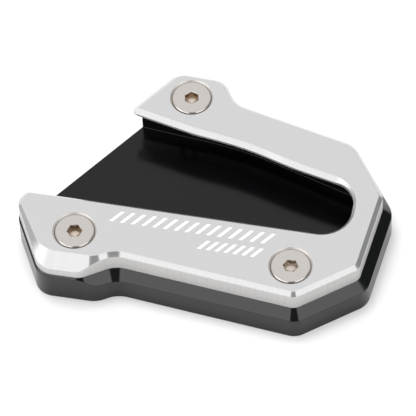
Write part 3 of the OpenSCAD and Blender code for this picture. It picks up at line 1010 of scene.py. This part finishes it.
def silver_anodised():
    m, t, bsdf, mm, nz = material("silver_anodised")
    top = t.span(nz, 0.93, 0.995)
    wall = t.span(nz, 0.15, 0.45, 1.0, 0.0)
    # Painted highlight: a mask of the broken edges between top and bevel and between bevel and wall
    edge = t.math("MAXIMUM", t.window(nz, 0.87, 0.09, 0.05), t.window(nz, 0.40, 0.18, 0.1))
    grain = t.noise(mm, 7.0, 3.0)
    streaks = t.noise(mm, 5.0, 2.0, (1.0, 26.0, 1.0), TURN)
    cloud = t.noise(mm, 0.12, 3.0)
    mill = cutter_marks(t, mm, 0.9)
    sides = t.math("SUBTRACT", 1.0, top)
    tone = t.math("ADD", t.times(streaks, 0.015), t.times(cloud, 0.05))
    colour = t.mix(tone, (0.62, 0.62, 0.628, 1), (0.50, 0.50, 0.508, 1))
    colour = t.mix(wall, colour, (0.64, 0.632, 0.624, 1))
    marks = t.times(t.span(mill, 0.42, 0.66), sides)
    colour = t.mix(t.times(marks, 0.28), colour, (0.57, 0.55, 0.52, 1))
    # The broken edges painted lighter, a painted highlight
    colour = t.mix(t.times(edge, 0.5), colour, (0.72, 0.72, 0.725, 1))
    seat, gap_shade = screw_seats(t, mm, nz)
    colour = t.mix(seat, colour, (0.68, 0.64, 0.61, 1))
    # Painted shade down in the gap round each head
    colour = t.mix(gap_shade, colour, (0.12, 0.085, 0.06, 1))
    paint = t.times(slanted_bars(t, mm), top)
    rough = t.blend(top, 0.13, 0.26)
    rough = t.blend(wall, rough, 0.40)
    rough = t.blend(seat, rough, 0.38)
    rough = t.math("ADD", rough, t.times(t.math("SUBTRACT", grain, 0.5), 0.05))
    rough = t.math("ADD", rough, t.times(t.times(t.math("SUBTRACT", streaks, 0.5), top), 0.05))
    rough = t.blend(paint, rough, 0.55)
    t.put(bsdf.inputs["Base Color"], t.mix(paint, colour, (0.86, 0.86, 0.86, 1)))
    t.put(bsdf.inputs["Roughness"], rough)
    t.put(bsdf.inputs["Metallic"], t.math("SUBTRACT", t.blend(wall, t.blend(top, 0.70, 0.80), 0.45), paint))
    height = t.math("ADD", t.times(grain, 0.3), t.times(t.times(streaks, top), 0.25))
    height = t.math("ADD", height, t.times(t.times(mill, sides), 0.5))
    t.put(bsdf.inputs["Normal"], t.bump(height, 0.0000012))
    return m


def black_anodised():
    m, t, bsdf, mm, nz = material("black_anodised")
    wall = t.span(nz, 0.15, 0.45, 1.0, 0.0)
    grain = t.noise(mm, 6.0, 3.0)
    cloud = t.noise(mm, 0.10, 3.0)
    mill = cutter_marks(t, mm, 1.1)
    lines = t.noise(mm, 2.2, 2.0, (24.0, 1.0, 1.0), math.radians(near_slope))
    tone = t.math("ADD", t.times(cloud, 0.7), t.times(grain, 0.3))
    t.put(bsdf.inputs["Base Color"], t.mix(tone, (0.0012, 0.0010, 0.0014, 1), (0.0032, 0.0028, 0.0034, 1)))
    bevel_zone = t.window(nz, 0.70, 0.16, 0.1)
    rough = t.blend(bevel_zone, t.blend(wall, 0.16, 0.17), 0.09)
    t.put(bsdf.inputs["Roughness"], t.math("ADD", rough, t.times(t.math("SUBTRACT", grain, 0.5), 0.06)))
    bsdf.inputs["Metallic"].default_value = 0.0
    bsdf.inputs["IOR"].default_value = 1.45
    level_zone = t.span(nz, 0.9, 0.98)
    t.put(bsdf.inputs["Specular IOR Level"], t.blend(level_zone, t.blend(bevel_zone, 0.55, 1.0), 0.38))
    height = t.math("ADD", t.times(grain, 0.5), t.times(t.blend(wall, lines, mill), 0.7))
    t.put(bsdf.inputs["Normal"], t.bump(height, 0.0000015))
    return m


def socket_painted_shade(t, nz, rings, x, z):
    """The mask of the sockets and the colour painted in them: painted shade on the walls and the floor, and
    a painted highlight on the drill's cone.
    """
    mouth_r = socket_r(0) * (1 + socket_flare)
    below = t.span(z, head_top - 0.5, head_top - 0.1, 1.0, 0.0)
    deep = t.times(t.span(rings, mouth_r, mouth_r + 0.06, 1.0, 0.0), below)
    # Painted highlight on the drill's cone, painted shade further out and on the walls
    floor_shade_and_highlight = t.mix(t.span(rings, 0.9, 1.6), (0.68, 0.60, 0.52, 1), (0.46, 0.37, 0.29, 1))
    socket_shade_colour = t.mix(t.span(nz, 0.2, 0.6), (0.50, 0.41, 0.33, 1), floor_shade_and_highlight)
    # The socket at the front corner gets less of the painted shade and highlight than the other two
    lighter_socket = t.span(x, 10.0, 20.0, 0.0, 0.6)
    return deep, t.mix(lighter_socket, socket_shade_colour, (0.60, 0.555, 0.515, 1))


def plated_steel():
    m, t, bsdf, mm, nz = material("plated_steel")
    top = t.span(nz, 0.95, 0.995)
    rings = from_screws(t, mm)
    turning = t.add("ShaderNodeTexNoise", noise_dimensions="1D")
    t.put(turning.inputs["W"], rings)
    turning.inputs["Scale"].default_value = 5.0
    turning.inputs["Detail"].default_value = 3.0
    turning = turning.outputs["Fac"]
    grain = t.noise(mm, 9.0, 2.0)
    tone = t.math("ADD", t.times(turning, 0.5), t.times(grain, 0.5))
    colour = t.mix(tone, (0.635, 0.60, 0.575, 1), (0.59, 0.56, 0.53, 1))
    part = t.add("ShaderNodeSeparateXYZ")
    t.link(mm, part.inputs[0])
    x, z = part.outputs[0], part.outputs[2]
    deep, socket_shade_colour = socket_painted_shade(t, nz, rings, x, z)
    # Painted shade in the sockets, with a painted highlight on each drill cone
    colour = t.mix(deep, colour, socket_shade_colour)
    # Painted shade on the foot of each head's side, down in the gap
    low = t.span(z, head_top - 0.40, head_top - 0.28, 1.0, 0.0)
    side = t.times(t.span(rings, head_r - 0.10, head_r - 0.03), low)
    t.put(bsdf.inputs["Base Color"], t.mix(side, colour, (0.10, 0.07, 0.05, 1)))
    bsdf.inputs["Metallic"].default_value = 1.0
    rough = t.blend(top, 0.16, 0.24)
    t.put(bsdf.inputs["Roughness"], t.math("ADD", rough, t.times(t.math("SUBTRACT", turning, 0.5), 0.10)))
    height = t.math("ADD", t.times(grain, 0.4), t.times(t.times(turning, top), 0.8))
    t.put(bsdf.inputs["Normal"], t.bump(height, 0.000001))
    return m


for obj, make in ((top_body, silver_anodised), (base_body, black_anodised), (screw_body, plated_steel)):
    obj.data.materials.append(make())
